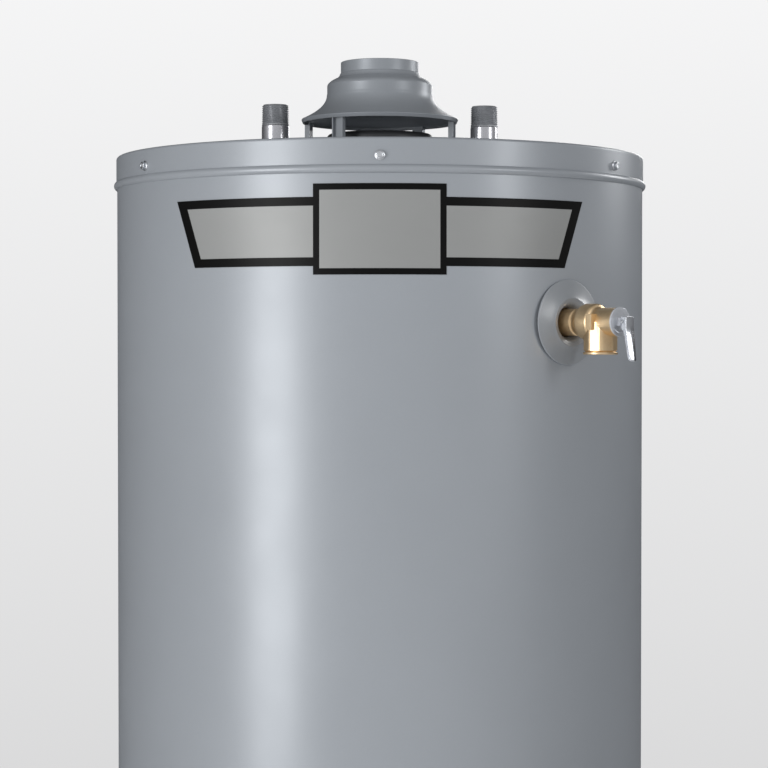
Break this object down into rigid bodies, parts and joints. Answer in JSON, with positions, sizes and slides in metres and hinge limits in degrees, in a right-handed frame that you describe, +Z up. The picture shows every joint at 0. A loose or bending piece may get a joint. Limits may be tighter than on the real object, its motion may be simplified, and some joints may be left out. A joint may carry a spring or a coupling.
{
  "type": "tank water heater",
  "caption": "Tall round gas tank water heater with a draft hood, water nipples, brass relief valve, gas control and drain valve.",
  "frame": {"origin": "on the tank's axis, at floor level, in the plane of the base ring's underside", "axes": "+Z up along the tank's axis; -Y is the front, with the gas control and the label; +X is the viewer's right"},
  "size_m": [0.519, 0.6067, 1.561],
  "materials": {
    "casing_paint": "satin",
    "pan_paint": "satin",
    "base_paint": "satin",
    "zinc": "satin",
    "grey_plastic": "satin",
    "label": "gloss",
    "tank_steel": "matte",
    "raw_steel": "satin",
    "flue_steel": "matte",
    "foam": "matte",
    "glass_wool": "matte",
    "galvanised": "satin",
    "liner_plastic": "satin",
    "magnesium": "matte",
    "brass": "satin",
    "seat_rubber": "matte",
    "handwheel_paint": "satin",
    "escutcheon_plastic": "satin",
    "relief_cap": "satin",
    "bright_steel": "satin",
    "hood_steel": "satin",
    "collar_steel": "matte",
    "cast_aluminium": "satin",
    "control_plastic": "satin",
    "button_red": "gloss",
    "tube_aluminium": "satin",
    "lead_copper": "satin",
    "lead_silicone": "satin",
    "burner_steel": "matte",
    "inner_door_paint": "matte",
    "gasket_fibre": "matte",
    "sight_glass": "gloss",
    "arrestor_ceramic": "matte"
  },
  "bodies": {
    "casing": {"jacket": "casing_paint", "top_cover": "casing_paint", "cover_screws": "zinc", "anode_cap": "grey_plastic", "bottom_pan": "pan_paint", "base_ring": "base_paint", "base_screws": "zinc", "label_plate": "label", "tank_shell": "tank_steel", "tank_top_head": "tank_steel", "tank_bottom_head": "tank_steel", "tank_spuds": "raw_steel", "flue_tube": "flue_steel", "flue_baffle": "flue_steel", "foam_insulation": "foam", "chamber_insulation": "glass_wool", "cold_nipple": "galvanised", "hot_nipple": "galvanised", "nipple_liners": "liner_plastic", "dip_tube": "liner_plastic", "anode_rod": "magnesium", "drain_body": "brass", "drain_bonnet": "brass", "relief_escutcheon": "escutcheon_plastic", "relief_body": "brass", "relief_cap": "relief_cap", "relief_spring": "raw_steel", "relief_probe": "brass", "relief_pin": "zinc", "flue_collar": "collar_steel", "draft_hood": "hood_steel", "hood_legs": "hood_steel", "hood_screws": "zinc", "control_body": "cast_aluminium", "control_cover": "control_plastic", "igniter_body": "control_plastic", "control_probe": "brass", "tube_nuts": "brass", "manifold_tube": "tube_aluminium", "pilot_tube": "tube_aluminium", "thermocouple_lead": "lead_copper", "igniter_lead": "lead_silicone", "burner": "burner_steel", "pilot_assembly": "raw_steel", "inner_door": "inner_door_paint", "door_gasket": "gasket_fibre", "inner_door_screws": "zinc", "sight_glass": "sight_glass", "flame_arrestor": "arrestor_ceramic"},
    "relief_lever": {"relief_lever": "bright_steel"},
    "relief_stem": {"relief_stem": "brass"},
    "temperature_dial": {"temperature_dial": "control_plastic"},
    "gas_knob": {"gas_knob": "control_plastic"},
    "pilot_button": {"pilot_button": "button_red"},
    "igniter_button": {"igniter_button": "button_red"},
    "drain_washer": {"drain_washer": "seat_rubber"},
    "drain_stem": {"drain_stem": "brass", "drain_handwheel": "handwheel_paint", "drain_wheel_screw": "zinc"},
    "outer_door": {"outer_door": "casing_paint"}
  },
  "joints": [
    {"name": "relief_lever_hinge", "type": "hinge", "parent": "casing", "child": "relief_lever", "pos_m": [0.21256, -0.24453, 1.307], "axis": [-0.7547, -0.6561, 0], "range_deg": [0, 90], "stiffness_Nm_per_rad": 0.4},
    {"name": "relief_stem_slide", "type": "slide", "parent": "casing", "child": "relief_stem", "axis": [0.6561, -0.7547, 0], "range_m": [0, 0.00314], "deforming": ["relief_spring"]},
    {"name": "temperature_dial_turn", "type": "hinge", "parent": "casing", "child": "temperature_dial", "pos_m": [-0.026, -0.34, 0.398], "axis": [0, -1, 0], "range_deg": [-140, 140]},
    {"name": "gas_knob_turn", "type": "hinge", "parent": "casing", "child": "gas_knob", "pos_m": [0.034, -0.34, 0.416], "axis": [0, -1, 0], "range_deg": [0, 180]},
    {"name": "pilot_button_press", "type": "slide", "parent": "casing", "child": "pilot_button", "axis": [0, 1, 0], "range_m": [0, 0.004], "stiffness_N_per_m": 400},
    {"name": "igniter_button_press", "type": "slide", "parent": "casing", "child": "igniter_button", "axis": [0, 1, 0], "range_m": [0, 0.004], "stiffness_N_per_m": 600},
    {"name": "drain_lift", "type": "slide", "parent": "casing", "child": "drain_washer", "axis": [-0.6157, -0.788, 0], "range_m": [0, 0.0048]},
    {"name": "drain_turn", "type": "hinge", "parent": "drain_washer", "child": "drain_stem", "pos_m": [-0.20071, -0.25689, 0.352], "axis": [-0.6157, -0.788, 0], "range_deg": [0, 1080]},
    {"name": "outer_door_pull", "type": "slide", "parent": "casing", "child": "outer_door", "axis": [0, -1, 0], "range_m": [0, 0.15]}
  ],
  "couplings": [
    {"joint": "relief_lever_hinge", "follows": "relief_stem_slide", "rad_per_m": 500},
    {"joint": "drain_turn", "follows": "drain_lift", "rad_per_m": 3927}
  ]
}
